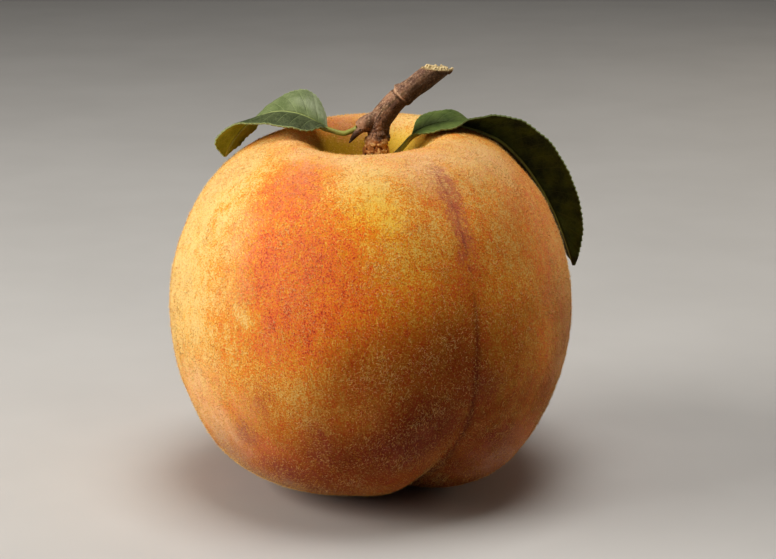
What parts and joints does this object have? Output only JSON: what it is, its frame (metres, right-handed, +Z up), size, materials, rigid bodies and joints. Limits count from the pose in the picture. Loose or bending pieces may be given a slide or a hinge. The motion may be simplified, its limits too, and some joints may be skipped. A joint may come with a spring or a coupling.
{
  "type": "peach",
  "caption": "Round yellow peach with a seam down one side, a stub of twig in its stem hollow and two leaves, resting on a small flat spot.",
  "frame": {"origin": "middle of the flat spot that the fruit rests on", "axes": "+Z up along the stem hollow, -Y towards the front, where the blush is and the seam runs down a little to the right, +X to the right"},
  "size_m": [0.0801, 0.0768, 0.0809],
  "materials": {
    "downy_skin": "matte",
    "bark": "matte",
    "leaf_light": "satin",
    "leaf_dark": "satin"
  },
  "bodies": {
    "root": {"fruit": "downy_skin", "twig": "bark", "leaf_left": "leaf_light", "leaf_right": "leaf_dark"}
  },
  "joints": []
}
